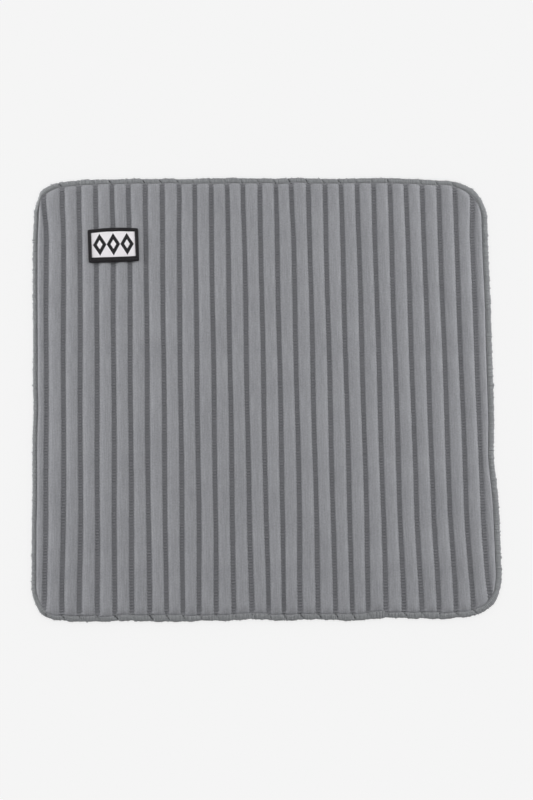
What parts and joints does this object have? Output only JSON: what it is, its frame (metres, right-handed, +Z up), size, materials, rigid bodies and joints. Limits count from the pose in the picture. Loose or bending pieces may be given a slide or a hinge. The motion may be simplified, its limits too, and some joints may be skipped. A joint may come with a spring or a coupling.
{
  "type": "quilted wrap pad",
  "caption": "Soft square pad of knitted fabric with parallel padded ribs, stitched grooves that fold, an overlocked edge and a small woven label; lies flat or wraps round a limb.",
  "frame": {"origin": "middle of the pad, on the surface that its back lies on", "axes": "+X to the right across the ribs, +Y along the ribs towards the edge near the label, +Z up out of the face"},
  "size_m": [0.45, 0.44, 0.0089],
  "materials": {
    "knit": "fine grey knit, matt with a soft sheen",
    "filler_foam": "open-cell foam strip",
    "seam_thread": "dark grey ladder stitch",
    "overlock_thread": "grey overlock thread",
    "label_weave": "white and black satin weave",
    "label_border": "black merrowed thread",
    "label_thread": "black sewing thread"
  },
  "bodies": {
    "panel_1": {"face_knit_1": "knit", "back_knit_1": "knit", "filler_strips_1": "filler_foam", "quilt_seams_1": "seam_thread", "edge_overlock_1": "overlock_thread"},
    "panel_2": {"face_knit_2": "knit", "back_knit_2": "knit", "filler_strips_2": "filler_foam", "quilt_seams_2": "seam_thread", "edge_overlock_2": "overlock_thread", "label_base": "label_weave", "label_border": "label_border", "label_stitching": "label_thread"},
    "panel_3": {"face_knit_3": "knit", "back_knit_3": "knit", "filler_strips_3": "filler_foam", "quilt_seams_3": "seam_thread", "edge_overlock_3": "overlock_thread"},
    "panel_4": {"face_knit_4": "knit", "back_knit_4": "knit", "filler_strips_4": "filler_foam", "quilt_seams_4": "seam_thread", "edge_overlock_4": "overlock_thread"},
    "panel_5": {"face_knit_5": "knit", "back_knit_5": "knit", "filler_strips_5": "filler_foam", "quilt_seams_5": "seam_thread", "edge_overlock_5": "overlock_thread"},
    "panel_6": {"face_knit_6": "knit", "back_knit_6": "knit", "filler_strips_6": "filler_foam", "quilt_seams_6": "seam_thread", "edge_overlock_6": "overlock_thread"},
    "panel_7": {"face_knit_7": "knit", "back_knit_7": "knit", "filler_strips_7": "filler_foam", "quilt_seams_7": "seam_thread", "edge_overlock_7": "overlock_thread"},
    "panel_8": {"face_knit_8": "knit", "back_knit_8": "knit", "filler_strips_8": "filler_foam", "quilt_seams_8": "seam_thread", "edge_overlock_8": "overlock_thread"},
    "panel_9": {"face_knit_9": "knit", "back_knit_9": "knit", "filler_strips_9": "filler_foam", "quilt_seams_9": "seam_thread", "edge_overlock_9": "overlock_thread"}
  },
  "joints": [
    {"name": "fold_1", "type": "hinge", "parent": "panel_2", "child": "panel_1", "pos_m": [-0.17875, 0, 0.0035], "axis": [0, 1, 0], "range_deg": [0, 38]},
    {"name": "fold_2", "type": "hinge", "parent": "panel_3", "child": "panel_2", "pos_m": [-0.11375, 0, 0.0035], "axis": [0, 1, 0], "range_deg": [0, 38]},
    {"name": "fold_3", "type": "hinge", "parent": "panel_4", "child": "panel_3", "pos_m": [-0.065, 0, 0.0035], "axis": [0, 1, 0], "range_deg": [0, 38]},
    {"name": "fold_4", "type": "hinge", "parent": "panel_5", "child": "panel_4", "pos_m": [-0.01625, 0, 0.0035], "axis": [0, 1, 0], "range_deg": [0, 38]},
    {"name": "fold_5", "type": "hinge", "parent": "panel_5", "child": "panel_6", "pos_m": [0.0325, 0, 0.0035], "axis": [0, -1, 0], "range_deg": [0, 38]},
    {"name": "fold_6", "type": "hinge", "parent": "panel_6", "child": "panel_7", "pos_m": [0.08125, 0, 0.0035], "axis": [0, -1, 0], "range_deg": [0, 38]},
    {"name": "fold_7", "type": "hinge", "parent": "panel_7", "child": "panel_8", "pos_m": [0.13, 0, 0.0035], "axis": [0, -1, 0], "range_deg": [0, 38]},
    {"name": "fold_8", "type": "hinge", "parent": "panel_8", "child": "panel_9", "pos_m": [0.17875, 0, 0.0035], "axis": [0, -1, 0], "range_deg": [0, 38]}
  ],
  "couplings": [
    {"joint": "fold_1", "follows": "fold_4", "ratio": 1},
    {"joint": "fold_2", "follows": "fold_4", "ratio": 1},
    {"joint": "fold_3", "follows": "fold_4", "ratio": 1},
    {"joint": "fold_5", "follows": "fold_4", "ratio": 1},
    {"joint": "fold_6", "follows": "fold_4", "ratio": 1},
    {"joint": "fold_7", "follows": "fold_4", "ratio": 1},
    {"joint": "fold_8", "follows": "fold_4", "ratio": 1}
  ]
}
